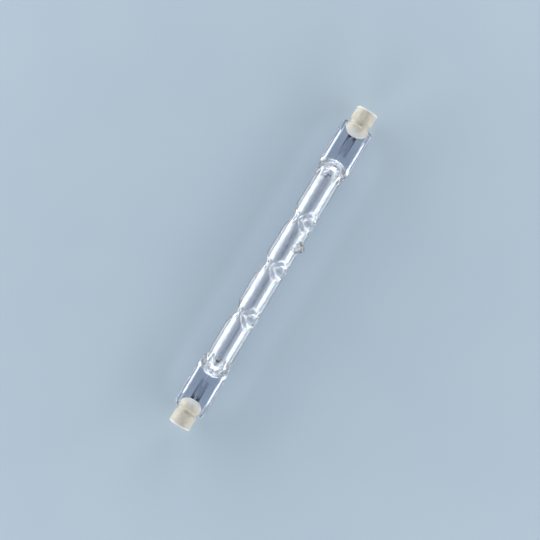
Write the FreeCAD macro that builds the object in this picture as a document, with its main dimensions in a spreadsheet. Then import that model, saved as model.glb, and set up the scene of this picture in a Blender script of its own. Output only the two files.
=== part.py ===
import FreeCAD, Part

# A linear halogen bulb: a clear quartz tube with a long coiled filament on its axis, pinched
# in at three places to hold the coil, pressed flat and sealed round a foil at each end, and
# carried in two ceramic caps with a sunk contact in each outer face.
#
# Millimetres. X runs along the bulb from the left cap to the right one, Z is up, and the
# bulb lies on its tube: the tube's axis is one tube radius above the origin, which is the
# middle of the footprint. Each end is modelled once in an end frame, whose origin is the
# middle of the cap's outer face and whose X points to the middle of the bulb, and is then
# placed at the left end and, turned half round, at the right end.

import math
import os

import Sketcher
from FreeCAD import Placement, Rotation, Vector

# The driving dimensions: name, value in millimetres (degrees for angles), and meaning.
SIZES = (
    ("lamp_length", 117.6, "over the outer faces of the two caps"),
    ("tube_diameter", 8.9, "outside of the quartz tube"),
    ("tube_wall", 1.0, "thickness of the tube's wall"),
    ("tube_flare", 5.5, "stretch in which the round tube widens to the press"),
    ("pinch_length", 4.0, "stretch in which the jaws bring the glass down to the press"),
    ("pinch_reach", 1.2, "how far that stretch runs on over the press"),
    ("press_length", 14.4, "flat press, from its outer end to the start of the flare"),
    ("press_width", 10.9, "over the two side ribs"),
    ("press_thickness", 3.5, "of the side ribs"),
    ("press_corner", 0.9, "radius of the two outer corners"),
    ("flare_set_in", 0.15, "how far the flare's flat end stays inside the press all round"),
    ("web_thickness", 2.3, "of the press between its ribs"),
    ("web_width", 7.9, "flat web between the feet of the ribs"),
    ("web_length", 12.9, "from the outer end to the crown of the curved inner end"),
    ("web_end_rise", 1.6, "of the curved inner end, which bulges to the cap"),
    ("web_draft", 30.0, "slope of the pressed walls, from upright"),
    ("cavity_reach", 0.3, "how far the hollow runs on into the press"),
    ("cavity_pinch", 3.6, "stretch in which the hollow is brought down to its end height"),
    ("cavity_end_width", 4.2, "width of the hollow where it closes"),
    ("cavity_end_height", 0.9, "height of the hollow where it closes"),
    ("crimp_pitch", 17.85, "from one pinched place to the next"),
    ("crimp_length", 6.6, "of one pinched place"),
    ("crimp_clearance", 0.2, "between the coil's turns and the ridge of each of the three dents"),
    ("jaw_face", 0.9, "flat face of the jaw that presses a dent"),
    ("jaw_taper", 34.0, "slope of the jaw's flanks"),
    ("tip_offset", 9.6, "of the sealed pump tip, from the middle of the bulb"),
    ("tip_lean", 48.0, "of the pump tip from upright, to the front"),
    ("tip_base_diameter", 4.3, "where the pump tip leaves the tube"),
    ("tip_neck_diameter", 2.7, "at the end of the hollow skirt"),
    ("tip_skirt", 0.9, "height of the skirt above the tube"),
    ("tip_height", 2.9, "of the pump tip above the tube"),
    ("tip_bore", 1.5, "width of the pump hole in the tube's wall"),
    ("tip_hole", 1.26, "how far the hole's point reaches above the tube"),
    ("coil_gap", 3.6, "between the hollow's end and the filament's first turn"),
    ("coil_wire", 0.25, "side of the filament's wire"),
    ("coil_turns", 28.0, "number of turns"),
    ("foil_cover", 3.5, "press between the foil's inner end and the start of the flare"),
    ("foil_width", 2.9, "across the bulb"),
    ("foil_thickness", 0.05, "of the sealing foil"),
    ("foil_start", 8.0, "outer end of the foil, from the cap's face"),
    ("outer_lead_diameter", 0.8, "pin between the contact and the foil"),
    ("outer_lead_overlap", 3.3, "of the pin on the foil"),
    ("inner_lead_diameter", 0.8, "rod between the foil and the filament"),
    ("inner_lead_overlap", 2.0, "of the rod on the foil"),
    ("inner_lead_grip", 1.6, "of the rod inside the filament's end turns"),
    ("weld_flat", 0.07, "how much a lead is flattened where it lies on the foil"),
    ("glass_end", 5.8, "outer end of the press, from the cap's face"),
    ("head_diameter", 7.3, "of the cap's round head, which the lampholder takes"),
    ("head_length", 4.3, "of the head"),
    ("neck_diameter", 6.4, "of the neck behind the head"),
    ("neck_slope", 0.5, "length of the cone from the head to the neck"),
    ("collar_start", 5.9, "from the cap's face"),
    ("collar_diameter", 7.8, "of the collar that the press ribs flank"),
    ("collar_length", 1.9, "of the collar"),
    ("nose_diameter", 3.3, "at the end of the nose cone"),
    ("nose_length", 1.8, "of the nose cone"),
    ("cement_gap", 0.15, "cement between the web and each jaw of the cap"),
    ("cement_bed", 0.25, "cement under the outer end of the web"),
    ("recess_diameter", 4.6, "of the well in the cap's face"),
    ("recess_depth", 1.65, "of the well"),
    ("contact_diameter", 3.4, "of the contact, which is let into the well's floor"),
    ("contact_sink", 0.05, "from the well's floor down to the crown of the contact"),
    ("contact_height", 0.35, "from the contact's seat to its crown"),
    ("contact_crown", 1.8, "of the contact's flat crown"),
    ("contact_edge", 0.08, "thickness of the contact at its rim"),
    ("bore_clearance", 0.05, "round the contact and round the outer lead, in the cap"),
)

CRIMP_COUNT = 3
DENT_COUNT = 3
COIL_SIDES = 5
JAW_OVERSHOOT = 1.01
TIP_BLUNTNESS = 0.75
HALF_TURN = 180.0

doc = FreeCAD.newDocument("linear_halogen_bulb")
sheet = doc.addObject("Spreadsheet::Sheet", "sizes")


class Size:
    """A size that knows both its number and the sheet expression it is worked out by."""

    def __init__(self, value, text):
        self.value = value
        self.text = text

    def __add__(self, other):
        other = as_size(other)
        return Size(self.value + other.value, "(%s + %s)" % (self.text, other.text))

    def __sub__(self, other):
        other = as_size(other)
        return Size(self.value - other.value, "(%s - %s)" % (self.text, other.text))

    def __mul__(self, other):
        other = as_size(other)
        return Size(self.value * other.value, "(%s * %s)" % (self.text, other.text))

    def __truediv__(self, other):
        other = as_size(other)
        return Size(self.value / other.value, "(%s / %s)" % (self.text, other.text))

    def __neg__(self):
        return Size(-self.value, "(-1 * %s)" % self.text)


def as_size(number):
    """A plain number as a Size, and a Size as it is."""
    if isinstance(number, Size):
        return number
    return Size(float(number), "(%g)" % number)


def fill_sheet():
    """Write the driving dimensions into the sheet and hand them back by name."""
    sizes = {}
    for row, (name, value, meaning) in enumerate(SIZES, start=1):
        sheet.set("A%d" % row, name)
        sheet.set("B%d" % row, "%g" % value)
        sheet.set("C%d" % row, meaning)
        sheet.setAlias("B%d" % row, name)
    doc.recompute()
    for name, value, meaning in SIZES:
        sizes[name] = Size(float(sheet.get(name)), "<<sizes>>.%s" % name)
    return sizes


size = fill_sheet()
ZERO = as_size(0)

# Sizes that follow from the driving ones, all in the end frame unless they are radii.
tube_radius = size["tube_diameter"] / 2
cavity_radius = tube_radius - size["tube_wall"]
half_lamp = size["lamp_length"] / 2
press_end = size["glass_end"] + size["press_length"]
flare_end = press_end + size["tube_flare"]
pinch_end = press_end - size["pinch_reach"]
flare_half_width = size["press_width"] / 2 - size["flare_set_in"]
flare_half_height = size["press_thickness"] / 2 - size["flare_set_in"]
cavity_end = press_end - size["cavity_reach"]
foil_end = press_end - size["foil_cover"]
outer_lead_radius = size["outer_lead_diameter"] / 2
inner_lead_radius = size["inner_lead_diameter"] / 2
coil_radius = inner_lead_radius + size["coil_wire"]
crimp_depth = cavity_radius - coil_radius - size["crimp_clearance"]
foil_top = size["weld_flat"] - outer_lead_radius
contact_crown = size["recess_depth"] + size["contact_sink"]
contact_seat = contact_crown + size["contact_height"]
outer_lead_end = size["foil_start"] + size["outer_lead_overlap"]
inner_lead_start = foil_end - size["inner_lead_overlap"]
coil_start = cavity_end + size["coil_gap"]
coil_length = (half_lamp - coil_start) * 2
inner_lead_end = coil_start + size["inner_lead_grip"]
slot_floor = size["glass_end"] - size["cement_bed"]
slot_half = size["web_thickness"] / 2 + size["cement_gap"]
collar_end = size["collar_start"] + size["collar_length"]
nose_end = collar_end + size["nose_length"]


# Drawing helpers: a sketch's corners are tied to the sheet one by one.

def bind(item, prop, amount):
    """Tie one property of an object to the sheet."""
    item.setExpression(prop, as_size(amount).text)


def place_at_end(item, side, low=None):
    """Put an object drawn in the end frame at the left end, or half turned at the right.

    A box is drawn from its own corner, and low says where that is in the end frame.
    """
    sign = 1 if side == "right" else -1
    turn = HALF_TURN if side == "right" else 0.0
    along, across, up = low or (ZERO, ZERO, ZERO)
    item.Placement = Placement(Vector(0, 0, 0), Rotation(Vector(0, 0, 1), turn))
    bind(item, "Placement.Base.x", (half_lamp - along) * sign)
    bind(item, "Placement.Base.y", across * -sign)
    bind(item, "Placement.Base.z", tube_radius + up)


def new_body(name):
    """An empty body for one piece or one tool."""
    return doc.addObject("PartDesign::Body", name)


def plane_sketch(body, name, role):
    """A sketch on one of the body's own origin planes."""
    sketch = body.newObject("Sketcher::SketchObject", name)
    plane = [item for item in body.Origin.OriginFeatures if item.Role == role][0]
    sketch.AttachmentSupport = [(plane, "")]
    sketch.MapMode = "FlatFace"
    return sketch


def arc_between(start, end, radius):
    """The short arc from start to end, its centre on the left for a positive radius."""
    chord = end - start
    reach = abs(radius)
    rise = math.sqrt(max(reach ** 2 - (chord.Length / 2) ** 2, 0.0))
    left = Vector(-chord.y, chord.x, 0).normalize()
    centre = start + chord / 2 + left * math.copysign(rise, radius)
    first, last = (start, end) if radius > 0 else (end, start)
    spin_first = math.atan2(first.y - centre.y, first.x - centre.x)
    spin_last = math.atan2(last.y - centre.y, last.x - centre.x)
    circle = Part.Circle(centre, Vector(0, 0, 1), reach)
    return Part.ArcOfCircle(circle, spin_first, spin_last)


def draw_outline(sketch, corners):
    """A closed outline. A corner is (x, y), or (x, y, radius) where an arc leaves it."""
    points = [Vector(corner[0].value, corner[1].value, 0) for corner in corners]
    ends = []
    for number, corner in enumerate(corners):
        start = points[number]
        end = points[(number + 1) % len(points)]
        if len(corner) == 2:
            edge = sketch.addGeometry(Part.LineSegment(start, end), False)
            ends.append((edge, 1, 2))
            continue
        edge = sketch.addGeometry(arc_between(start, end, corner[2].value), False)
        ends.append((edge, 1, 2) if corner[2].value > 0 else (edge, 2, 1))
    for number, corner in enumerate(corners):
        edge, head = ends[number][:2]
        before, last = ends[number - 1][0], ends[number - 1][2]
        sketch.addConstraint(Sketcher.Constraint("Coincident", before, last, edge, head))
        tie(sketch, ("DistanceX", edge, head), corner[0])
        tie(sketch, ("DistanceY", edge, head), corner[1])
        if len(corner) == 3:
            radius = corner[2] if corner[2].value > 0 else -corner[2]
            tie(sketch, ("Radius", edge), radius)


def tie(sketch, what, amount):
    """Add one constraint and bind its value to the sheet."""
    index = sketch.addConstraint(Sketcher.Constraint(*what, amount.value))
    bind(sketch, "Constraints[%d]" % index, amount)


def turned_body(name, corners):
    """A body turned about its X axis. The corners are (along, radius)."""
    body = new_body(name)
    sketch = plane_sketch(body, name + "_profile", "XY_Plane")
    draw_outline(sketch, corners)
    turned = body.newObject("PartDesign::Revolution", name + "_turned")
    turned.Profile = sketch
    turned.ReferenceAxis = (sketch, ["H_Axis"])
    turned.Angle = 2 * HALF_TURN
    return body


def padded_body(name, corners, height, both_ways=True, draft=None, role="XY_Plane"):
    """A body raised from an outline on one of its planes, to both sides or to one."""
    body = new_body(name)
    sketch = plane_sketch(body, name + "_outline", role)
    draw_outline(sketch, corners)
    pad = body.newObject("PartDesign::Pad", name + "_pad")
    pad.Profile = sketch
    if both_ways:
        pad.SideType = "Symmetric"
    bind(pad, "Length", height)
    if draft is not None:
        bind(pad, "TaperAngle", draft)
    return body


def box(name, low, high):
    """A block between two corners."""
    block = doc.addObject("Part::Box", name)
    for side, axis, first, last in zip(("Length", "Width", "Height"), "xyz", low, high):
        bind(block, side, as_size(last) - as_size(first))
        bind(block, "Placement.Base." + axis, first)
    return block


def rod(name, start, end, radius):
    """A round rod along X."""
    item = doc.addObject("Part::Cylinder", name)
    item.Placement = Placement(Vector(0, 0, 0), Rotation(Vector(0, 1, 0), HALF_TURN / 2))
    bind(item, "Radius", radius)
    bind(item, "Height", as_size(end) - as_size(start))
    bind(item, "Placement.Base.x", start)
    return item


def solid_feature(name, shape):
    """A shape worked out by formula, as an object of the document."""
    item = doc.addObject("Part::Feature", name)
    item.Shape = shape
    return item


def join(kind, name, first, others):
    """One boolean of the document: first with, or without, the others."""
    result = doc.addObject("Part::" + kind, name)
    if kind == "MultiFuse":
        result.Shapes = [first] + list(others)
        result.Refine = True
        return result
    if kind == "MultiCommon":
        result.Shapes = [first] + list(others)
        return result
    tool = others[0]
    if len(others) > 1:
        tool = join("MultiFuse", name + "_tools", others[0], others[1:])
    result.Base = first
    result.Tool = tool
    return result


# The quartz envelope.

def dented_tube(name, radius, swell):
    """A round bar along X, pressed in at each pinch by three jaws set round it.

    A jaw is a roller with two tapered flanks and a flat face between them. The inside of
    the wall follows the same jaws, grown by the wall's thickness, and closes to a ridge
    where the outside has the flat.
    """
    body = new_body(name)
    section = plane_sketch(body, name + "_section", "YZ_Plane")
    circle = Part.Circle(Vector(0, 0, 0), Vector(0, 0, 1), radius.value)
    ring = section.addGeometry(circle, False)
    section.addConstraint(Sketcher.Constraint("Coincident", ring, 3, -1, 1))
    tie(section, ("Radius", ring), radius)
    bar = body.newObject("PartDesign::Pad", name + "_bar")
    bar.Profile = section
    bar.SideType = "Symmetric"
    bind(bar, "Length", (half_lamp - flare_end) * 2)

    half_length = size["crimp_length"] / 2
    jaw_radius = (half_length * half_length + crimp_depth * crimp_depth) / (crimp_depth * 2)
    jaw_axis = tube_radius - crimp_depth + jaw_radius
    grown = jaw_radius + swell
    face = size["jaw_face"] / 2
    reach = face + grown / math.tan(math.radians(size["jaw_taper"].value))
    row_length = size["crimp_pitch"] * (CRIMP_COUNT - 1)
    outline = plane_sketch(body, name + "_jaw_outline", "YZ_Plane")
    bind(outline, "AttachmentOffset.Base.z", -row_length / 2)
    front = [(jaw_axis - grown, face), (jaw_axis - grown, -face)]
    if swell.value > 0:
        front = [(jaw_axis - grown, ZERO)]
    draw_outline(outline, [(jaw_axis, -reach), (jaw_axis, reach)] + front)
    low = Vector(jaw_axis.value, -reach.value, 0)
    high = Vector(jaw_axis.value, reach.value, 0)
    spindle = outline.addGeometry(Part.LineSegment(low, high), True)
    outline.addConstraint(Sketcher.Constraint("Coincident", spindle, 1, 0, 1))
    outline.addConstraint(Sketcher.Constraint("Coincident", spindle, 2, 0, 2))
    doc.recompute()
    dent = body.newObject("PartDesign::Groove", name + "_dent")
    dent.Profile = outline
    dent.ReferenceAxis = (outline, ["Axis0"])
    dent.Angle = 2 * HALF_TURN
    doc.recompute()
    lamp_axis = [item for item in body.Origin.OriginFeatures if item.Role == "X_Axis"][0]
    dents = body.newObject("PartDesign::MultiTransform", name + "_dents")
    dents.Originals = [dent]
    around = body.newObject("PartDesign::PolarPattern", name + "_around")
    around.Axis = (lamp_axis, [""])
    around.Angle = 2 * HALF_TURN
    around.Occurrences = DENT_COUNT
    along = body.newObject("PartDesign::LinearPattern", name + "_along")
    along.Direction = (lamp_axis, [""])
    bind(along, "Length", row_length)
    along.Occurrences = CRIMP_COUNT
    dents.Transformations = [around, along]
    body.Tip = dents
    bind(body, "Placement.Base.z", tube_radius)
    return body


def shoulder(name, side, plan, pinch, end_half_height):
    """Where a round section goes over into a wide flat one, as two jaws would press it.

    Seen from above, the outline widens, or narrows, along the corners of the plan. Seen
    from the side, it is trimmed along a soft double bend down to the end's height.
    """
    stop = plan[-1][0]
    radius = plan[0][1]
    turned = turned_body(name + "_plan_" + side, [(stop, ZERO), (flare_end, ZERO)] + plan)
    full = radius * JAW_OVERSHOOT
    drop = full - end_half_height
    bend = (pinch * pinch + drop * drop) / (drop * 4)
    middle = stop + pinch / 2
    middle_height = (full + end_half_height) / 2
    jaws = padded_body(name + "_profile_" + side, [
        (stop, end_half_height, bend),
        (middle, middle_height, -bend),
        (stop + pinch, full),
        (flare_end, full),
        (flare_end, -full),
        (stop + pinch, -full, -bend),
        (middle, -middle_height, bend),
        (stop, -end_half_height),
    ], size["press_width"] * 2, role="XZ_Plane")
    item = join("MultiCommon", name + "_" + side, turned, [jaws])
    place_at_end(item, side)
    return item


def press_blank(side):
    """The flat press before its webs are pressed in, with rounded outer corners."""
    half_width = size["press_width"] / 2
    corner = size["press_corner"]
    blank = padded_body("press_" + side, [
        (press_end, -half_width),
        (press_end, half_width),
        (size["glass_end"] + corner, half_width, corner),
        (size["glass_end"], half_width - corner),
        (size["glass_end"], corner - half_width, corner),
        (size["glass_end"] + corner, -half_width),
    ], size["press_thickness"])
    place_at_end(blank, side)
    return blank


def web_cutter(side, face):
    """What the press jaw takes away above, or below, one web, with sloping walls."""
    half_width = size["web_width"] / 2
    crown = size["glass_end"] + size["web_length"]
    rise = size["web_end_rise"]
    start = size["glass_end"] - size["web_width"]
    depth = (size["press_thickness"] - size["web_thickness"]) / 2 + size["web_end_rise"] / 2
    block = padded_body("web_block_%s_%s" % (face, side), [
        (start, -half_width),
        (crown + rise, -half_width),
        (crown + rise, half_width),
        (start, half_width),
    ], depth, both_ways=False, draft=size["web_draft"])
    end_radius = (half_width * half_width + rise * rise) / (rise * 2)
    bulge = doc.addObject("Part::Cone", "web_end_%s_%s" % (face, side))
    bind(bulge, "Radius1", end_radius)
    bind(bulge, "Radius2", end_radius - depth * math.tan(math.radians(size["web_draft"].value)))
    bind(bulge, "Height", depth)
    bind(bulge, "Placement.Base.x", crown + end_radius)
    cutter = join("Cut", "web_%s_%s" % (face, side), block, [bulge])
    place_at_end(cutter, side)
    offset = size["web_thickness"] / 2
    if face == "lower":
        turn = Rotation(Vector(1, 0, 0), HALF_TURN)
        cutter.Placement = Placement(cutter.Placement.Base, cutter.Placement.Rotation.multiply(turn))
        offset = -offset
    bind(cutter, "Placement.Base.z", tube_radius + offset)
    return cutter


def tip_frame(item):
    """Turn an object drawn along X so that it leans out of the tube at the pump tip."""
    lean = size["tip_lean"]
    upright = Rotation(Vector(0, 1, 0), -HALF_TURN / 2)
    outward = Rotation(Vector(1, 0, 0), lean.value)
    item.Placement = Placement(Vector(0, 0, 0), outward.multiply(upright))
    bind(item, "Placement.Base.x", size["tip_offset"])
    bind(item, "Placement.Base.z", tube_radius)


def pump_tip():
    """The melted-off pump tip: a hollow skirt drawn in to a solid blunt point."""
    base = size["tip_base_diameter"] / 2
    neck = size["tip_neck_diameter"] / 2
    foot = tube_radius - size["tube_wall"] / 2
    shoulder_at = tube_radius + size["tip_skirt"]
    crown = tube_radius + size["tip_height"]
    point_width = neck / 2
    tip = turned_body("pump_tip", [
        (foot, ZERO),
        (crown, ZERO),
        (crown - point_width * TIP_BLUNTNESS, point_width),
        (shoulder_at, neck),
        (foot, base),
    ])
    tip_frame(tip)
    return tip


def pump_hole():
    """The hole left in the tube's wall under the pump tip, drawn to a point."""
    mouth = cavity_radius - size["tube_wall"] / 2
    hole = turned_body("pump_hole", [
        (mouth, ZERO),
        (tube_radius + size["tip_hole"], ZERO),
        (tube_radius, size["tip_bore"] / 2),
        (mouth, size["tip_bore"] / 2),
    ])
    tip_frame(hole)
    return hole


# The parts that carry the current.

def foil(side):
    """The thin sealing foil, just under the leads."""
    half_width = size["foil_width"] / 2
    low = (size["foil_start"], -half_width, foil_top - size["foil_thickness"])
    high = (foil_end, half_width, foil_top)
    strip = box("moly_foil_" + side, low, high)
    place_at_end(strip, side, low)
    return strip


def flattened_lead(name, start, end, radius, flat_start, flat_end):
    """A round rod with a flat below, where it is welded to the foil."""
    blank = rod(name + "_rod", start, end, radius)
    flat = box(name + "_flat", (flat_start, -radius, -radius * 2), (flat_end, radius, foil_top))
    return join("Cut", name, blank, [flat])


def coil_shape():
    """The filament: a square wire wound on the leads, each turn drawn in straight runs."""
    half_side = size["coil_wire"].value / 2
    spin = math.pi / COIL_SIDES
    reach = (inner_lead_radius.value + half_side) / math.cos(spin)
    length = coil_length.value - size["coil_wire"].value
    count = int(round(size["coil_turns"].value)) * COIL_SIDES
    points = []
    for number in range(count + 1):
        angle = 2 * spin * number
        along = length * (number / count - 0.5)
        points.append(Vector(along, reach * math.cos(angle), reach * math.sin(angle)))
    run = (points[1] - points[0]).normalize()
    outward = run.cross(Vector(1, 0, 0)).normalize()
    ahead = outward.cross(run)
    corners = []
    for out, on in ((-1, -1), (1, -1), (1, 1), (-1, 1)):
        corners.append(points[0] + (outward * out + ahead * on) * half_side)
    profile = Part.makePolygon(corners + corners[:1])
    return Part.makePolygon(points).makePipeShell([profile], True, True, 1)


# The ceramic cap, its contact and its cement.

def cap_blank(side, use):
    """The cap's turned outside, its well, the contact's seat and the lead's bore."""
    head = size["head_diameter"] / 2
    neck = size["neck_diameter"] / 2
    collar = size["collar_diameter"] / 2
    lead_bore = outer_lead_radius + size["bore_clearance"]
    seat = size["contact_diameter"] / 2 + size["bore_clearance"]
    well = size["recess_diameter"] / 2
    return turned_body("cap_%s_%s" % (use, side), [
        (ZERO, well),
        (ZERO, head),
        (size["head_length"], head),
        (size["head_length"] + size["neck_slope"], neck),
        (size["collar_start"], neck),
        (size["collar_start"], collar),
        (collar_end, collar),
        (nose_end, size["nose_diameter"] / 2),
        (nose_end, lead_bore),
        (contact_seat, lead_bore),
        (contact_seat, seat),
        (size["recess_depth"], seat),
        (size["recess_depth"], well),
    ])


def slot_block(side, use):
    """The slot across the cap that takes the web."""
    reach = size["collar_diameter"]
    return box("slot_%s_%s" % (use, side), (slot_floor, -reach, -slot_half),
               (nose_end + slot_half, reach, slot_half))


def ceramic_cap(side):
    """The cap with its two jaws."""
    cap = join("Cut", "ceramic_cap_" + side, cap_blank(side, "blank"), [slot_block(side, "cut")])
    place_at_end(cap, side)
    return cap


def contact_button(side):
    """A low raised contact, let into the floor of the well and welded to the lead."""
    rim = size["contact_diameter"] / 2
    edge = contact_seat - size["contact_edge"]
    button = turned_body("contact_button_" + side, [
        (contact_crown, ZERO),
        (contact_seat, ZERO),
        (contact_seat, rim),
        (edge, rim),
        (contact_crown, size["contact_crown"] / 2),
    ])
    place_at_end(button, side)
    return button


def cap_cement(side, inside):
    """The cement that fills the slot round the web, the lead and all else in it."""
    fill = join("MultiCommon", "cement_fill_" + side, cap_fill(side), [slot_block(side, "fill")])
    place_at_end(fill, side)
    return join("Cut", "cap_cement_" + side, fill, inside)


def cap_fill(side):
    """The cap's outside without its bores, from which the cement is shaped."""
    collar = size["collar_diameter"] / 2
    neck = size["neck_diameter"] / 2
    return turned_body("cap_outside_" + side, [
        (slot_floor, ZERO),
        (nose_end, ZERO),
        (nose_end, size["nose_diameter"] / 2),
        (collar_end, collar),
        (size["collar_start"], collar),
        (size["collar_start"], neck),
        (slot_floor, neck),
    ])


# Put the bulb together.

SIDES = ("left", "right")
nodes = {}

for side in SIDES:
    for name, item in (
            ("moly_foil_", foil(side)),
            ("outer_lead_", flattened_lead("outer_lead_" + side, contact_seat, outer_lead_end,
                                           outer_lead_radius, size["foil_start"],
                                           outer_lead_end + outer_lead_radius)),
            ("inner_lead_", flattened_lead("inner_lead_" + side, inner_lead_start,
                                           inner_lead_end, inner_lead_radius,
                                           inner_lead_start - inner_lead_radius, foil_end))):
        nodes[name + side] = item

for side in SIDES:
    place_at_end(nodes["outer_lead_" + side], side)
    place_at_end(nodes["inner_lead_" + side], side)
    nodes["ceramic_cap_" + side] = ceramic_cap(side)
    nodes["contact_button_" + side] = contact_button(side)

nodes["filament"] = solid_feature("filament", coil_shape())
bind(nodes["filament"], "Placement.Base.z", tube_radius)

outside = [dented_tube("tube_outside", tube_radius, ZERO), pump_tip()]
hollow = [dented_tube("tube_hollow", cavity_radius, size["tube_wall"]), pump_hole()]
cutters = []
for side in SIDES:
    outside.append(press_blank(side))
    outside.append(shoulder("flare", side, [
        (flare_end, tube_radius),
        (press_end, flare_half_width),
        (pinch_end, flare_half_width),
    ], size["pinch_length"], flare_half_height))
    hollow.append(shoulder("closing", side, [
        (flare_end, cavity_radius),
        (cavity_end, size["cavity_end_width"] / 2),
    ], size["cavity_pinch"], size["cavity_end_height"] / 2))
    cutters.extend([web_cutter(side, "upper"), web_cutter(side, "lower")])
    cutters.extend([nodes["moly_foil_" + side], nodes["outer_lead_" + side],
                    nodes["inner_lead_" + side]])

glass = join("MultiFuse", "glass_outside", outside[0], outside[1:])
void = join("MultiFuse", "glass_hollow", hollow[0], hollow[1:])
shell = join("Cut", "glass_shell", glass, [void])
nodes["quartz_envelope"] = join("Cut", "quartz_envelope", shell, cutters)
for side in SIDES:
    nodes["cap_cement_" + side] = cap_cement(side, [
        nodes["quartz_envelope"], nodes["outer_lead_" + side], nodes["moly_foil_" + side]])
doc.recompute()

for item in doc.Objects:
    if "Invalid" in item.State or "Error" in item.State:
        raise RuntimeError("%s failed: %s" % (item.Name, item.State))

os.makedirs("parts", exist_ok=True)
for name, item in nodes.items():
    shape = item.Shape
    if shape.isNull() or not shape.isValid() or not shape.Solids:
        raise RuntimeError("%s is not a valid solid" % name)
    item.Label = name
    shape.exportStep("parts/%s.step" % name)
    print("%-24s solids %d  volume %9.3f" % (name, len(shape.Solids), shape.Volume))
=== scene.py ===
# %% [markdown]
# # A linear halogen bulb
# The bulb is a clear quartz tube with a long coiled filament. It is pinched in at three places,
# pressed flat round a sealing foil at each end, and carried in two ceramic caps.
# The packed CAD model is the frame. This lesson finishes it: every piece is made in its own
# cell, in metres, at the place where the CAD model has it.

# %% Load the frame
import math

import bmesh
import bpy
from mathutils import Matrix, Vector


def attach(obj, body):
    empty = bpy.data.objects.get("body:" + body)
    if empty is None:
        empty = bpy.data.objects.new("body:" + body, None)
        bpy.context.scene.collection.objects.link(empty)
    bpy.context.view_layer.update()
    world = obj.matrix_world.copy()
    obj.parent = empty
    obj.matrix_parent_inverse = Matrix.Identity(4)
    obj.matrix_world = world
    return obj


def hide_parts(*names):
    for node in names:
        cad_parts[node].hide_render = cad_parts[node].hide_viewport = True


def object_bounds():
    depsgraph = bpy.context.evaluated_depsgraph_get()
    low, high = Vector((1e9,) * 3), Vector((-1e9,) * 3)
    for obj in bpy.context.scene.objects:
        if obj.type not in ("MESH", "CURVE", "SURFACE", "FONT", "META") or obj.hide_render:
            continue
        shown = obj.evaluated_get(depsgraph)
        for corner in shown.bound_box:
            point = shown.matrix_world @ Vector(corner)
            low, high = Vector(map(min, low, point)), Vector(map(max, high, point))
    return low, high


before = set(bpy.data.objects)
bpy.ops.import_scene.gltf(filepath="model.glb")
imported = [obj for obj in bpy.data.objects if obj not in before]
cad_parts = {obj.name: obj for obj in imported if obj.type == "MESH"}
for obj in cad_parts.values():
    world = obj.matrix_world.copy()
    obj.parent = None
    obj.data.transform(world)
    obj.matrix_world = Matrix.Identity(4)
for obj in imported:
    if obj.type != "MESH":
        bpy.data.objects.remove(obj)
cad_low, cad_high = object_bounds()
print("CAD box", [round(v, 5) for v in cad_low], [round(v, 5) for v in cad_high])

# %% [markdown]
# Sizes are easier to read in millimetres, so each piece is modelled in millimetres round the
# bulb's own axis. One helper then scales it to metres and lifts it to the axis, so that the
# finished object sits at the origin with its place in its mesh, as a CAD node does.

# %% Sizes of the whole bulb, in millimetres
MM = 0.001
HALF_LAMP = 58.8
TUBE_RADIUS = 4.45
CAVITY_RADIUS = 3.45
WALL = TUBE_RADIUS - CAVITY_RADIUS
AXIS_HEIGHT = TUBE_RADIUS
SIDES = (("left", -1), ("right", 1))
print("the axis is", AXIS_HEIGHT, "mm above the floor and the glass", WALL, "mm thick")

# %% [markdown]
# A shape made with bmesh operators becomes an object in one place. The helper turns the faces
# outwards where that is wanted, shades them smooth up to an angle, says which part of the frame
# the piece rides on and which finish it takes, and hides the CAD nodes it stands for. An operator
# gives back points, edges and faces in one list, so a small helper picks one kind out of it, and
# another finds the edges of a ring of points.

# %% Helpers: make a piece from a bmesh
COLLECTION = bpy.context.scene.collection
POINT = bmesh.types.BMVert
EDGE = bmesh.types.BMEdge


def only(kind, items):
    """The points, or the edges, among what an operator gives back."""
    return [item for item in items if isinstance(item, kind)]


def edges_of(ring):
    """The edges that hold a ring of points together."""
    return list({edge for vert in ring for edge in vert.link_edges})


def to_frame(shape):
    """Scale a shape from millimetres to metres and lift it to the bulb's axis."""
    place = Matrix.Translation((0, 0, AXIS_HEIGHT * MM)) @ Matrix.Scale(MM, 4)
    bmesh.ops.transform(shape, matrix=place, verts=shape.verts)


def make_piece(name, shape, material, nodes=(), smooth_angle=40.0, turn_out=True):
    """Make an object of a shape, on the frame, in place of CAD nodes."""
    if turn_out:
        bmesh.ops.recalc_face_normals(shape, faces=shape.faces)
    to_frame(shape)
    mesh = bpy.data.meshes.new(name)
    shape.to_mesh(mesh)
    shape.free()
    mesh.materials.append(material)
    piece = bpy.data.objects.new(name, mesh)
    COLLECTION.objects.link(piece)
    mesh.shade_smooth()
    mesh.set_sharp_from_angle(angle=math.radians(smooth_angle))
    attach(piece, "root")
    if nodes:
        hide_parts(*nodes)
    print(name, "has", len(mesh.polygons), "faces")
    return piece


print("pieces go into", COLLECTION.name)

# %% [markdown]
# Shader maths reads best as plain arithmetic. A Value wraps one socket of a node, and adding,
# subtracting or multiplying Values puts the Math nodes into the tree. The reflected forms let a
# plain number stand first, as in 1 - mask.

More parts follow.
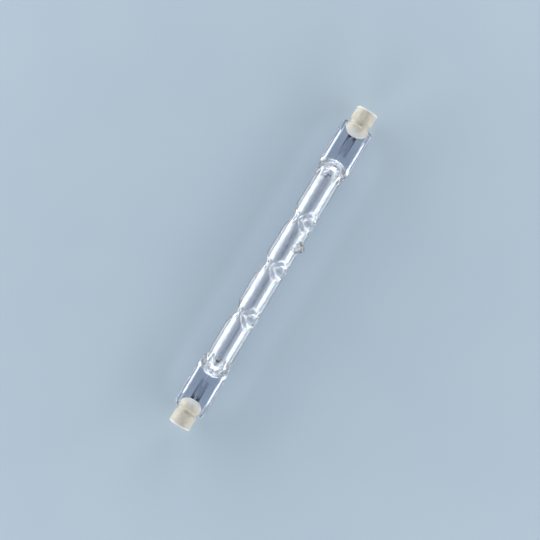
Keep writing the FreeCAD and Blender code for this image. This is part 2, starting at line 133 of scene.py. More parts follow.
# %% Helper: a shader socket that takes arithmetic
class Value:
    """One output of a shader tree, on which arithmetic adds Math nodes."""

    def __init__(self, finish, socket):
        self.finish = finish
        self.socket = socket

    def math(self, operation, *others):
        """Any operation of the Math node on this value and others."""
        inputs = dict(enumerate((self, *others)))
        return self.finish.value("ShaderNodeMath", {"operation": operation}, inputs)

    def __add__(self, other):
        return self.math("ADD", other)

    def __radd__(self, other):
        return self.finish.number(other, "ADD", self)

    def __sub__(self, other):
        return self.math("SUBTRACT", other)

    def __rsub__(self, other):
        return self.finish.number(other, "SUBTRACT", self)

    def __mul__(self, other):
        return self.math("MULTIPLY", other)

    def __rmul__(self, other):
        return self.finish.number(other, "MULTIPLY", self)

    def __abs__(self):
        return self.math("ABSOLUTE")

    def ramp(self, low, high, to_low=0.0, to_high=1.0):
        """The value eased from low..high to another span."""
        return self.finish.value("ShaderNodeMapRange",
                                 {"interpolation_type": "SMOOTHSTEP", "clamp": True},
                                 {"Value": self, "From Min": low, "From Max": high,
                                  "To Min": to_low, "To Max": to_high})


print("a Value knows", sorted(name for name in vars(Value) if not name.startswith("_")))

# %% [markdown]
# A Finish holds one node tree while it is wired. One method makes any node from its type, its
# settings and its sockets. The others are the few things that every finish here asks for: where
# a point is on the bulb, noise of a size in millimetres, and a bump of a depth in millimetres.

# %% Helper: a finish that makes its nodes
class Finish:
    """A node tree while it is wired."""

    def __init__(self, owner):
        owner.use_nodes = True
        self.owner = owner
        self.tree = owner.node_tree
        self.tree.nodes.clear()

    def node(self, kind, settings=None, inputs=None):
        """A node of a type, with its settings first and then its sockets."""
        node = self.tree.nodes.new(kind)
        for name, setting in (settings or {}).items():
            setattr(node, name, setting)
        for name, value in (inputs or {}).items():
            socket = node.inputs[name]
            if isinstance(value, Value):
                self.tree.links.new(value.socket, socket)
            else:
                socket.default_value = value
        return node

    def value(self, kind, settings=None, inputs=None, output=0):
        """One output of a new node."""
        return Value(self, self.node(kind, settings, inputs).outputs[output])

    def number(self, first, operation, second):
        """Arithmetic that starts with a plain number."""
        return self.value("ShaderNodeMath", {"operation": operation}, {0: first, 1: second})

    def mix(self, amount, first, second):
        """A colour between two colours."""
        return self.value("ShaderNodeMix", {"data_type": "RGBA"},
                          {"Factor": amount, "A": first, "B": second}, output=2)

    def place(self, stretch=(1, 1, 1)):
        """Object coordinates in millimetres, from the bulb's axis, stretched for a grain."""
        spot = self.value("ShaderNodeTexCoord", output="Object")
        scale = [part / MM for part in stretch]
        shift = (0, 0, -AXIS_HEIGHT * MM * scale[2])
        return self.value("ShaderNodeMapping", {"vector_type": "POINT"},
                          {"Vector": spot, "Location": shift, "Scale": scale})

    def along(self):
        """How far a point is from the middle of the bulb, along it, in millimetres."""
        return abs(self.value("ShaderNodeSeparateXYZ", None, {0: self.place()}, output="X"))

    def aside(self):
        """How far a point is to the side of the axis, in millimetres."""
        return abs(self.value("ShaderNodeSeparateXYZ", None, {0: self.place()}, output="Y"))

    def from_axis(self):
        """How far a point is from the bulb's axis, in millimetres."""
        return self.value("ShaderNodeVectorMath", {"operation": "LENGTH"},
                          {0: self.place((0, 1, 1))}, output="Value")

    def noise(self, size, detail=3.0, stretch=(1, 1, 1)):
        """Noise of a size in millimetres."""
        return self.value("ShaderNodeTexNoise", None,
                          {"Vector": self.place(stretch), "Scale": 1.0 / size,
                           "Detail": detail}, output="Fac")

    def ray(self, kind):
        """Whether a ray is of a kind, as 1 or 0, or how often it has been turned."""
        return self.value("ShaderNodeLightPath", output=kind)

    def bump(self, height, depth, strength):
        """A normal from a height, whose full swing is depth in millimetres."""
        return self.value("ShaderNodeBump", None,
                          {"Height": height, "Distance": depth * MM, "Strength": strength},
                          output="Normal")

    def surface(self, shader, volume=None):
        """Put a shader on the output, and a volume where there is one."""
        kind = "ShaderNodeOutputWorld" if isinstance(self.owner, bpy.types.World) \
            else "ShaderNodeOutputMaterial"
        inputs = {"Surface": shader} if volume is None else {"Surface": shader, "Volume": volume}
        self.node(kind, None, inputs)
        print(self.owner.name, "has", len(self.tree.nodes), "nodes")


def new_finish(name):
    """The finish of a new material."""
    return Finish(bpy.data.materials.new(name))


def rgb(red, green, blue):
    """A linear colour."""
    return (red, green, blue, 1.0)


# %% [markdown]
# ## The stage
# The photograph looks straight down on the bulb, which lies aslant. So the camera hangs over
# the middle, turned about the upright, with a long lens that keeps the perspective flat.

# %% Camera
CAMERA_HEIGHT = 0.48445
CAMERA_TURN = -59.0
CAMERA_ASIDE = (-0.001061, 0.000674)
LENS = 99.65

camera = bpy.data.objects.new("camera", bpy.data.cameras.new("camera"))
camera.location = (*CAMERA_ASIDE, CAMERA_HEIGHT)
camera.rotation_euler = (0, 0, math.radians(CAMERA_TURN))
camera.data.sensor_width = 36.0
camera.data.lens = LENS
COLLECTION.objects.link(camera)
bpy.context.scene.camera = camera
bpy.context.scene.view_settings.view_transform = "Standard"
print("camera", tuple(round(v, 4) for v in camera.location))

# %% [markdown]
# The floor is a plain pale blue sheet. Its colour is dark enough for the white lines in the
# glass to stand out. A lit glass rod throws a bright stripe on the table along each side of it,
# and the rim of the glass shows that stripe as a thin white line. Tracing such a stripe takes
# too long, so the floor glows in its place, and only for rays that come through glass.

# %% Floor
FLOOR_TONES = (rgb(0.58, 0.695, 0.795), rgb(0.60, 0.71, 0.81))
FLOOR_SIZE = 0.86
FLOOR_SQUARES = 8
FLOOR_GAP = 0.0001
STRIPE_INNER_EDGE = (6.5, 7.5)
STRIPE_OUTER_EDGE = (10.5, 11.5)
STRIPE_END = (52.0, 55.0)

floor_finish = new_finish("pale_floor")
grain = floor_finish.noise(40.0, 2.0)
floor_shader = floor_finish.value("ShaderNodeBsdfPrincipled", None,
                                  {"Base Color": floor_finish.mix(grain.ramp(0.2, 0.8),
                                                                  *FLOOR_TONES),
                                   "Roughness": 0.9, "Specular IOR Level": 0.1})
glow = floor_finish.value("ShaderNodeEmission", None, {"Color": rgb(0.97, 0.98, 1.0),
                                                       "Strength": 1.0})
beside = floor_finish.aside()
stripe = beside.ramp(*STRIPE_INNER_EDGE) * (1 - beside.ramp(*STRIPE_OUTER_EDGE)) \
    * (1 - floor_finish.along().ramp(*STRIPE_END))
through_glass = floor_finish.ray("Is Transmission Ray")
floor_finish.surface(floor_finish.value("ShaderNodeMixShader", None,
                                        {0: stripe * through_glass, 1: floor_shader, 2: glow}))

sheet = bmesh.new()
bmesh.ops.create_grid(sheet, x_segments=FLOOR_SQUARES, y_segments=FLOOR_SQUARES,
                      size=FLOOR_SIZE / 2)
bmesh.ops.translate(sheet, verts=sheet.verts, vec=(0, 0, cad_low[2] - FLOOR_GAP))
floor_mesh = bpy.data.meshes.new("floor")
sheet.to_mesh(floor_mesh)
sheet.free()
floor_mesh.materials.append(floor_finish.owner)
floor = bpy.data.objects.new("floor", floor_mesh)
COLLECTION.objects.link(floor)
print("the floor is", FLOOR_SIZE, "m wide")

# %% [markdown]
# Beyond the floor the room is pale to the eye and dim as a light. Glass that mirrors it or bends
# it into view finds white walls and a dimmer ceiling, which draws the bright edges and the
# darker middle of the photograph.

# %% Room
ROOM_TONE = rgb(0.62, 0.70, 0.78)
ROOM_LIGHT = 0.33
WALL_TONE = rgb(0.96, 0.98, 1.0)
WALL_LIGHT = 0.9
CEILING = (0.7, 0.95)

world = bpy.data.worlds.new("studio")
bpy.context.scene.world = world
air = Finish(world)


def background(colour, strength):
    """The room in one colour."""
    return air.value("ShaderNodeBackground", None, {"Color": colour, "Strength": strength})


direction = air.value("ShaderNodeTexCoord", output="Generated")
upward = air.value("ShaderNodeSeparateXYZ", None, {0: direction}, output="Z")
dim = background(ROOM_TONE, ROOM_LIGHT)
walls = air.value("ShaderNodeMixShader", None,
                  {0: upward.ramp(*CEILING), 1: background(WALL_TONE, WALL_LIGHT), 2: dim})
backdrop = air.value("ShaderNodeMixShader", None,
                     {0: air.ray("Is Camera Ray"), 1: dim, 2: background(ROOM_TONE, 1.0)})
mirrored = air.ray("Is Glossy Ray").math("MAXIMUM", air.ray("Is Transmission Ray"))
air.surface(air.value("ShaderNodeMixShader", None, {0: mirrored, 1: backdrop, 2: walls}))

# %% [markdown]
# Two long soft strips light the bulb, one on each side and low. A round glass rod mirrors such
# strips as the long white lines of the photograph. The strip at the back is the larger one, so
# the soft shadow falls to the front. A smaller and weaker panel off each end is mirrored where
# the glass slopes down to its press and into its dents.

# %% Lights: name, azimuth and zenith in degrees, length and width in metres, brightness
LAMP_DISTANCE = 0.45
LAMPS = (("back_strip", 90, 78, 0.9, 0.105, 8.5), ("front_strip", -90, 74, 0.9, 0.075, 8.5),
         ("left_panel", 180, 71.5, 0.35, 0.085, 7.0), ("right_panel", 0, 71.5, 0.35, 0.085, 7.0))


def hang_lamp(name, azimuth, zenith, length, width, brightness):
    """A rectangle of light that faces the bulb; the brightness is that of its surface."""
    lamp = bpy.data.lights.new(name, "AREA")
    lamp.shape = "RECTANGLE"
    lamp.size = length
    lamp.size_y = width
    lamp.energy = brightness * math.pi * length * width
    light = bpy.data.objects.new(name, lamp)
    azimuth = math.radians(azimuth)
    zenith = math.radians(zenith)
    away = Vector((math.sin(zenith) * math.cos(azimuth),
                   math.sin(zenith) * math.sin(azimuth), math.cos(zenith)))
    light.location = away * LAMP_DISTANCE
    light.rotation_euler = away.to_track_quat("Z", "Y").to_euler()
    light.visible_camera = False
    COLLECTION.objects.link(light)


for lamp in LAMPS:
    hang_lamp(*lamp)
print("lamps hung:", [lamp[0] for lamp in LAMPS])

# %% [markdown]
# ## The quartz envelope
# The real envelope is one tube of fused quartz, softened with a torch and shaped by jaws. It is
# made here as it is in the workshop. A ring of points is drawn out along the axis, station by
# station, into a plain tube. Then every point is pushed in by the jaws that reach it. The inner
# skin is drawn in the same way, so the wall has a true thickness that bends the light.

# %% Glass: curves that ease a shape
def ease_min(first, second, width):
    """The smaller of two numbers, rounded where they meet."""
    if width <= 0:
        return min(first, second)
    part = max(0.0, min(1.0, 0.5 + 0.5 * (second - first) / width))
    return second + (first - second) * part - width * part * (1.0 - part)


def ease_max(first, second, width):
    """The larger of two numbers, rounded where they meet."""
    return -ease_min(-first, -second, width)


def ease_step(amount):
    """0 to 1 with a soft start and end."""
    amount = max(0.0, min(1.0, amount))
    return amount * amount * (3.0 - 2.0 * amount)


def share(value, span):
    """How far a value has come along a span, from 0 to 1."""
    return max(0.0, min(1.0, (value - span[0]) / (span[1] - span[0])))


def double_arc(part, run, drop):
    """How far an S of two equal arcs has dropped after a part of its run."""
    radius = (run * run + drop * drop) / (4.0 * drop)
    along = min(part, 1.0 - part) * run
    fallen = radius - math.sqrt(max(radius * radius - along * along, 0.0))
    return fallen if part <= 0.5 else drop - fallen


print("an S that drops 2 mm over 4 mm is, halfway, down", round(double_arc(0.5, 4.0, 2.0), 3))

# %% [markdown]
# Three jaws pinch the tube at three places. Each jaw presses a dent that is deepest in its
# middle, runs out softly along the tube and has a sloping flank on each side. A point that lies
# outside the jaw's face is moved straight in, along the jaw's stroke, until it lies on that
# face. The inner skin meets a face that is deeper by the thickness of the wall.

# %% Glass: the pinching jaws
CRIMPS = (-17.85, 0.0, 17.85)
DENT_TURNS = [math.radians(angle) for angle in (0.0, 120.0, 240.0)]
DENT_FLOOR = 1.85
DENT_REACH = 5.0
DENT_RISE = 3.2
JAW_FLAT = 0.45
JAW_SLOPE = 0.5
JAW_EASE = 0.3
JAW_MELT = 0.55


def pinch(along, across, up, wall):
    """Push a point of the tube in by the jaws that reach it."""
    for middle in CRIMPS:
        away = abs(along - middle) / DENT_REACH
        if away >= 1.0:
            continue
        rise = DENT_RISE * (1.0 - (1.0 - away * away) ** 2)
        for turn in DENT_TURNS:
            out = across * math.cos(turn) + up * math.sin(turn)
            aside = -across * math.sin(turn) + up * math.cos(turn)
            if out <= 0:
                continue
            flank = ease_max(abs(aside) - JAW_FLAT, 0.0, JAW_EASE) * JAW_SLOPE
            limit = DENT_FLOOR - wall + rise + flank
            moved = ease_min(out, limit, JAW_MELT) - out
            across += moved * math.cos(turn)
            up += moved * math.sin(turn)
    return across, up


print(len(CRIMPS) * len(DENT_TURNS), "dents come to", DENT_FLOOR, "mm from the axis")

# %% [markdown]
# Towards each end the round section goes over into the flat press. The section is a circle cut
# off above and below: its half width grows a little and its half height falls along an S. In the
# press the two long edges stay as thick ribs, and the web between them is pressed thinner, up to
# a curved edge that bulges to the cap.

# %% Glass: the outer section
FLARE = (33.1, 38.6)
PINCH = (35.8, 39.8)
PRESS_HALF = (5.45, 1.75)
PRESS_END = 53.0
PRESS_CORNER = 0.9
WEB_HALF = 1.15
WEB_HALF_WIDTH = 3.95
WEB_CROWN = 40.1
WEB_ARC = 5.68
WEB_SIDE_SLOPE = 0.8
WEB_END_SLOPE = 0.72
WEB_CORNER_EASE = 0.5
WEB_FOOT_EASE = 0.12
WEB_EDGE_EASE = 0.1
RIB_ROUND = 1.0
FLAT_SIDE_EASE = 0.05
FLARE_EASE = 0.5


def pinched_height(far, span, full, end):
    """Half the height of a section that the jaws bring down along an S."""
    return full - double_arc(share(far, span), span[1] - span[0], full - end)


def press_half_width(far):
    """Half the width of the glass, with the rounded corners of its outer end."""
    into = far - (PRESS_END - PRESS_CORNER)
    width = TUBE_RADIUS + (PRESS_HALF[0] - TUBE_RADIUS) * share(far, FLARE)
    if into > 0:
        width += math.sqrt(max(PRESS_CORNER ** 2 - into ** 2, 0.0)) - PRESS_CORNER
    return width


def web_limit(far, across):
    """Half the thickness that the web's jaw leaves at a place of the press."""
    reach = min(abs(across), WEB_ARC)
    arc_edge = WEB_CROWN - (WEB_ARC - math.sqrt(WEB_ARC ** 2 - reach ** 2))
    rise = -ease_min((WEB_HALF_WIDTH - abs(across)) * WEB_SIDE_SLOPE,
                     (far - arc_edge) * WEB_END_SLOPE, WEB_CORNER_EASE)
    return WEB_HALF + ease_max(rise, 0.0, WEB_FOOT_EASE)


def round_rib(across, up, width, height):
    """Move a point of the square press onto its rounded edge."""
    aside = abs(across) - (width - RIB_ROUND)
    above = up - (height - RIB_ROUND)
    if aside <= 0 or above <= 0:
        return across, up
    pull = max(aside, above) / math.hypot(aside, above)
    return (math.copysign(width - RIB_ROUND + aside * pull, across),
            height - RIB_ROUND + above * pull)


def outer_point(along, turn, flat):
    """Where a point of the outer skin lies; flat runs to 0 across the end face."""
    far = abs(along)
    width = press_half_width(far)
    height = pinched_height(far, PINCH, TUBE_RADIUS, PRESS_HALF[1])
    pressed = ease_step(share(far, PINCH))
    side = math.sqrt(max(1.0 - (height / width) ** 2, 0.0))
    across = math.cos(turn)
    square = across / ease_max(abs(across), side, FLAT_SIDE_EASE)
    across = width * (across + (square - across) * pressed)
    up = abs(width * math.sin(turn))
    if far > FLARE[0]:
        up = ease_min(up, height, FLARE_EASE * ease_step(share(far, FLARE)))
    if far > PINCH[0]:
        softened = round_rib(across, up, width, height)
        across += (softened[0] - across) * pressed
        up += (softened[1] - up) * pressed
        up = ease_min(up, web_limit(far, across), WEB_EDGE_EASE)
    up = math.copysign(up, math.sin(turn)) * flat
    if far < FLARE[0]:
        across, up = pinch(along, across, up, 0.0)
    return across, up


print("the press is", 2 * PRESS_HALF[0], "mm wide and", 2 * PRESS_HALF[1], "mm thick")

# %% [markdown]
# The hollow ends inside the glass: it narrows in width and is squeezed flat just before the
# press. Its skin is drawn with the same helpers.

# %% Glass: the inner section
HOLLOW_END = 38.9
HOLLOW_PINCH = (35.3, HOLLOW_END)
HOLLOW_END_HALF = (2.1, 0.45)
HOLLOW_EASE = 0.4


def inner_point(along, turn, flat):
    """Where a point of the inner skin lies."""
    far = abs(along)
    narrowed = share(far, (FLARE[0], HOLLOW_END))
    width = CAVITY_RADIUS + (HOLLOW_END_HALF[0] - CAVITY_RADIUS) * narrowed
    across = width * math.cos(turn)
    up = abs(width * math.sin(turn))
    if far < FLARE[0]:
        return pinch(along, across, math.copysign(up, math.sin(turn)), WALL)
    height = pinched_height(far, HOLLOW_PINCH, CAVITY_RADIUS, HOLLOW_END_HALF[1])
    up = ease_min(up, height, HOLLOW_EASE * ease_step(narrowed))
    return across, math.copysign(up, math.sin(turn)) * flat


print("the hollow closes", HOLLOW_END, "mm from the middle")

# %% [markdown]
# Stations lie close together where the glass is shaped and far apart where it is plain. The
# last few stations fold the ring flat and draw it in a little at its sides, which closes the end
# face without a fan of long faces.

# %% Glass: the stations along the axis
CURVED_EDGE = (38.0, 40.6)
SHAPED_FROM = 32.5
CORNER_FROM = 51.9
FINE_STEP = 0.1
CLOSE_STEP = 0.25
PLAIN_STEP = 0.6
LEAST_STEP = 0.02
END_FOLDS = (0.94, 0.6, 0.0)


def step_at(along):
    """The distance to the next station."""
    if CURVED_EDGE[0] < along < CURVED_EDGE[1]:
        return FINE_STEP
    if SHAPED_FROM < along <= CURVED_EDGE[0] or along > CORNER_FROM:
        return CLOSE_STEP
    if any(abs(along - middle) < DENT_REACH for middle in CRIMPS):
        return CLOSE_STEP
    return PLAIN_STEP


def stations(end):
    """Places along the axis, with how open the ring is there."""
    half = [0.0]
    while half[-1] + step_at(half[-1]) < end - LEAST_STEP:
        half.append(half[-1] + step_at(half[-1]))
    return [(along, 1.0) for along in half] + [(end, fold) for fold in END_FOLDS]


print("half the glass has", len(stations(PRESS_END)), "stations")

# %% [markdown]
# A ring is extruded from station to station, and only then is every ring given its section.
# Half of the bulb is drawn, and mirrored at its middle, where the two halves merge.

# %% Glass: draw the two skins
END_INSET = 0.15
MERGE = 0.001
OUTER_SIDES = 168
INNER_SIDES = 112


def draw_skin(end, sides, section):
    """Extrude a ring from the middle out to one end, shape it and mirror it."""
    shape = bmesh.new()
    places = stations(end)
    upright = Matrix.Rotation(math.radians(90), 4, "Y")
    ring = bmesh.ops.create_circle(shape, segments=sides, radius=TUBE_RADIUS,
                                   matrix=upright)["verts"]
    edges = edges_of(ring)
    rings = [ring]
    for before, after in zip(places, places[1:]):
        new = bmesh.ops.extrude_edge_only(shape, edges=edges)["geom"]
        ring, edges = only(POINT, new), only(EDGE, new)
        bmesh.ops.translate(shape, verts=ring, vec=(after[0] - before[0], 0, 0))
        rings.append(ring)
    for (along, flat), ring in zip(places, rings):
        inset = 1.0 - END_INSET * (1.0 - flat)
        for vert in ring:
            turn = math.atan2(vert.co.z, vert.co.y)
            across, up = section(along, turn, flat)
            vert.co.y, vert.co.z = across * inset, up
    bmesh.ops.remove_doubles(shape, verts=rings[-1], dist=MERGE)
    bmesh.ops.mirror(shape, geom=shape.verts[:] + shape.edges[:] + shape.faces[:],
                     axis="X", merge_dist=MERGE)
    bmesh.ops.recalc_face_normals(shape, faces=shape.faces)
    return shape


envelope = draw_skin(PRESS_END, OUTER_SIDES, outer_point)
hollow = draw_skin(HOLLOW_END, INNER_SIDES, inner_point)
print("the skins have", len(envelope.faces), "and", len(hollow.faces), "faces")

# %% [markdown]
# The pump tip is where the tube was evacuated, filled and melted off. The faces at its foot are
# cut away, the rim of the hole is set on a circle, and the rim is extruded ring by ring along
# the tip's profile to a rounded point. The narrow hole inside is drawn in the same way from the
# inner skin. Each step of a profile is a radius, a height above the bulb's axis, and how far
# the ring has gone from the round of the tube to a level ring.

# %% Glass: the pump tip
TIP_PLACE = 9.6
TIP_LEAN = math.radians(48.0)
TIP_AXIS = Vector((0, -math.sin(TIP_LEAN), math.cos(TIP_LEAN)))
TIP_SIDE = Vector((0, math.cos(TIP_LEAN), math.sin(TIP_LEAN)))
TIP_PROFILE = ((2.15, 4.45, 0.0), (2.02, 4.62, 0.25), (1.9, 4.85, 0.55), (1.8, 5.1, 0.8),
               (1.7, 5.35, 1.0), (1.53, 5.7, 1.0), (1.3, 6.05, 1.0), (1.03, 6.4, 1.0),
               (0.8, 6.66, 1.0), (0.6, 6.85, 1.0), (0.4, 7.0, 1.0), (0.2, 7.1, 1.0))
TIP_POINT = 7.15
HOLE_PROFILE = ((0.85, 3.45, 0.0), (0.78, 3.6, 0.5), (0.75, 3.8, 1.0), (0.75, 4.3, 1.0),
                (0.62, 4.7, 1.0), (0.42, 5.2, 1.0), (0.2, 5.6, 1.0))
HOLE_POINT = 5.71


def nearest_turn(vert, turns):
    """The turn of the rim point that a fresh point was extruded from."""
    return next(turns[edge.other_vert(vert)] for edge in vert.link_edges
                if edge.other_vert(vert) in turns)


def draw_tip(shape, radius, profile, point):
    """Cut a round hole in a skin and draw its rim out along the pump tip's axis."""
    foot, foot_height, _ = profile[0]
    middle = Vector((TIP_PLACE, 0, 0))
    inside = []
    for face in shape.faces:
        away = face.calc_center_median() - middle
        if away.dot(TIP_AXIS) > 0 and (away - away.dot(TIP_AXIS) * TIP_AXIS).length < foot:
            inside.append(face)
    bmesh.ops.delete(shape, geom=inside, context="FACES")
    edges = [edge for edge in shape.edges if len(edge.link_faces) == 1]
    ring = list({vert for edge in edges for vert in edge.verts})
    turns = {}
    for vert in ring:
        away = vert.co - middle
        turns[vert] = math.atan2(away.dot(TIP_SIDE), away.x)
    for number, (reach, height, level) in enumerate(profile):
        if number:
            new = bmesh.ops.extrude_edge_only(shape, edges=edges)["geom"]
            ring, edges = only(POINT, new), only(EDGE, new)
            turns = {vert: nearest_turn(vert, turns) for vert in ring}
        for vert in ring:
            aside = math.sin(turns[vert]) * reach
            saddle = math.sqrt(radius ** 2 - aside ** 2) + (height - foot_height)
            lift = saddle + (height - saddle) * level
            vert.co = middle + Vector((math.cos(turns[vert]) * reach, 0, 0)) \
                + TIP_SIDE * aside + TIP_AXIS * lift
    bmesh.ops.pointmerge(shape, verts=ring, merge_co=middle + TIP_AXIS * point)
    bmesh.ops.recalc_face_normals(shape, faces=shape.faces)


draw_tip(envelope, TUBE_RADIUS, TIP_PROFILE, TIP_POINT)
draw_tip(hollow, CAVITY_RADIUS, HOLE_PROFILE, HOLE_POINT)
print("the pump tip stands", TIP_PLACE, "mm from the middle")

# %% [markdown]
# Clear quartz hides nothing and shows only by what it mirrors and bends. The shader is a clear
# dielectric with the refraction of quartz, and a coat on it strengthens the mirrored lines. Faint
# draw lines run along the tube, the press has the ripple that its jaws leave, and the pump tip
# is uneven where it was melted off. Shadow rays pass straight through a thin grey veil, so that
# the lamps light what is inside and the floor keeps a soft shadow. A ray that has been bent many
# times leaves in the same way, where it would else be lost inside the glass and show as black.

# %% Finish: quartz glass
BENDS = 5.5
PRESS_BLEND = (37.5, 40.0)
TIP_ABOVE_TUBE = (4.7, 5.4)
MIDDLE_PART = (20.0, 22.0)
ABSORPTION = 35.0

quartz = new_finish("clear_quartz")
in_press = quartz.along().ramp(*PRESS_BLEND)
on_tip = quartz.from_axis().ramp(*TIP_ABOVE_TUBE) * (1 - quartz.along().ramp(*MIDDLE_PART))
draw_lines = quartz.noise(0.5, 2.0, (0.02, 1, 1))
ripple = quartz.noise(1.4, 3.0, (0.7, 1, 1))
melt = quartz.noise(0.9, 2.0)
relief = draw_lines * 0.12 + ripple * in_press + melt * on_tip * 4.0
smudge = quartz.noise(3.0, 4.0)
# Painted shade: the glass of the press is tinted darker and bluer than the clear tube.
tint_and_painted_press_shade = quartz.mix(in_press, rgb(0.975, 0.978, 0.985), rgb(0.68, 0.72, 0.82))
clear = quartz.value("ShaderNodeBsdfPrincipled", None,
                     {"Base Color": tint_and_painted_press_shade,
                      "Roughness": smudge.ramp(0.55, 0.8) * 0.02 + in_press * 0.02,
                      "Transmission Weight": 1.0, "IOR": 1.46,
                      "Coat Weight": 1.0, "Coat IOR": 1.6, "Coat Roughness": 0.02,
                      "Normal": quartz.bump(relief, 0.05, 0.35)})
veil = quartz.value("ShaderNodeBsdfTransparent", None, {"Color": rgb(0.90, 0.91, 0.93)})
spent = quartz.ray("Ray Depth").math("GREATER_THAN", BENDS)
straight = quartz.ray("Is Shadow Ray").math("MAXIMUM", quartz.ray("Is Diffuse Ray")) \
    .math("MAXIMUM", spent)
tint = quartz.value("ShaderNodeVolumeAbsorption", None,
                    {"Color": rgb(0.72, 0.74, 0.80), "Density": ABSORPTION})
quartz.surface(quartz.value("ShaderNodeMixShader", None, {0: straight, 1: clear, 2: veil}), tint)

# %% [markdown]
# The hollow's skin is turned inside out, because the air is on its inner side, and both skins
# become one piece of glass.

# %% Join the two skins
bmesh.ops.reverse_faces(hollow, faces=hollow.faces)
inner_mesh = bpy.data.meshes.new("hollow_skin")
hollow.to_mesh(inner_mesh)
hollow.free()
envelope.from_mesh(inner_mesh)
bpy.data.meshes.remove(inner_mesh)
make_piece("quartz_glass", envelope, quartz.owner, ["quartz_envelope"],
           smooth_angle=60.0, turn_out=False)

# %% [markdown]
# ## The filament
# The filament is a very fine tungsten wire wound into one long coil. One wire section is spun
# about the axis with a small step along it, which draws a block of twenty turns in one
# operation. Copies of the block, end to end, make up the rest. A few hundred turns, each of
# few faces, look like one fine coil.

# %% Filament: wind the coil
COIL_END = 35.3
COIL_RADIUS = 0.70
WIRE_RADIUS = 0.06
WIRE_SIDES = 4
TURNS = 380
TURN_STEPS = 12
BLOCK_TURNS = 20


def spin_wire(shape, place, wire, sides, turns, step, turn_steps):
    """Spin a wire section about the axis, a step along it at a time; return its last ring."""
    ring = bmesh.ops.create_circle(shape, segments=sides, radius=wire,
                                   matrix=Matrix.Translation(place))["verts"]
    return bmesh.ops.spin(shape, geom=ring + edges_of(ring), cent=(0, 0, 0), axis=(1, 0, 0),
                          dvec=(step, 0, 0), angle=turns * math.tau,
                          steps=int(turns * turn_steps), use_duplicate=False)["geom_last"]


def wind_coil():
    """The whole helix of wire along the axis, closed at both ends."""
    shape = bmesh.new()
    pitch = 2 * COIL_END / TURNS
    spin_wire(shape, (-COIL_END, COIL_RADIUS, 0), WIRE_RADIUS, WIRE_SIDES, BLOCK_TURNS,
              pitch / TURN_STEPS, TURN_STEPS)
    block = shape.verts[:] + shape.edges[:] + shape.faces[:]
    for number in range(1, TURNS // BLOCK_TURNS):
        copy = bmesh.ops.duplicate(shape, geom=block)["geom"]
        bmesh.ops.translate(shape, verts=only(POINT, copy),
                            vec=(number * BLOCK_TURNS * pitch, 0, 0))
    bmesh.ops.remove_doubles(shape, verts=shape.verts, dist=MERGE)
    bmesh.ops.holes_fill(shape, edges=shape.edges, sides=WIRE_SIDES)
    return shape


tungsten = new_finish("fine_tungsten")
band = tungsten.noise(0.8, 3.0, (1, 0.3, 0.3))
# Painted reflection: the grey of the tungsten is tinted blue like the bluish room round it.
tone = tungsten.mix(band.ramp(0.3, 0.7), rgb(0.36, 0.40, 0.47), rgb(0.52, 0.56, 0.63))
tungsten.surface(tungsten.value("ShaderNodeBsdfPrincipled", None,
                                {"Base Color": tone, "Metallic": 0.9,
                                 "Roughness": band.ramp(0.2, 0.8, 0.3, 0.5)}))

make_piece("filament_coil", wind_coil(), tungsten.owner, ["filament"],
           smooth_angle=70.0)

# %% [markdown]
# At each end the coil is gripped on its lead by a turn and a half of thicker wire, whose tail
# lies back along the coil. It is coloured near black. The same spin makes it, and the tail is
# the last ring drawn straight out.

# %% Filament: the gripping turns
GRIP_WIRE = 0.17
GRIP_RADIUS = 0.94
GRIP_SIDES = 8
GRIP_TURNS = 1.5
GRIP_STEPS = 24
GRIP_PITCH = 0.36
TAIL_LENGTH = 0.9


def grip_turns(sign):
    """A turn and a half round one end of the coil, and its tail."""
    shape = bmesh.new()
    last = spin_wire(shape, (COIL_END * sign, GRIP_RADIUS * -sign, 0), GRIP_WIRE, GRIP_SIDES,
                     GRIP_TURNS, -sign * GRIP_PITCH / GRIP_STEPS, GRIP_STEPS)
    tail = bmesh.ops.extrude_edge_only(shape, edges=only(EDGE, last))["geom"]
    bmesh.ops.translate(shape, verts=only(POINT, tail), vec=(-sign * TAIL_LENGTH, 0, 0))
    bmesh.ops.holes_fill(shape, edges=shape.edges, sides=GRIP_SIDES)
    return shape


dark_wire = new_finish("dark_wire")
# A near-black colour with a faint mottle.
dark_mottle = dark_wire.noise(0.3, 3.0)
dark_wire.surface(dark_wire.value("ShaderNodeBsdfPrincipled", None,
                                  {"Base Color": dark_wire.mix(dark_mottle, rgb(0.01, 0.01, 0.012),
                                                               rgb(0.03, 0.03, 0.035)),
                                   "Metallic": 0.3, "Roughness": dark_mottle.ramp(0, 1, 0.4, 0.6)}))
for side, sign in SIDES:
    make_piece("grip_turns_" + side, grip_turns(sign), dark_wire.owner)

# %% [markdown]
# ## The leads and the sealing foils
# The leads keep their CAD shape. Drawn molybdenum wire is dull grey with fine lines along it.
# Its grey is tinted blue, a painted reflection of the bluish room round it.

# %% Finish: drawn wire
def dress(node, finish):
    """Give a CAD node a finish."""
    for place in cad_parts[node].material_slots:
        place.material = finish.owner


drawn_wire = new_finish("drawn_wire")
scratch = drawn_wire.noise(0.15, 3.0, (0.08, 1, 1))
# Painted reflection: the blue in the wire's grey.
grey_and_painted_blue_tone = drawn_wire.mix(scratch.ramp(0.3, 0.7), rgb(0.24, 0.29, 0.37), rgb(0.33, 0.39, 0.48))
drawn_wire.surface(drawn_wire.value("ShaderNodeBsdfPrincipled", None,
                                    {"Base Color": grey_and_painted_blue_tone, "Metallic": 0.7,
                                     "Roughness": scratch.ramp(0, 1, 0.4, 0.6),
                                     "Normal": drawn_wire.bump(scratch, 0.02, 0.4)}))
for side, _ in SIDES:
    for lead in ("outer_lead_", "inner_lead_"):
        dress(lead + side, drawn_wire)
print("four leads are dressed")

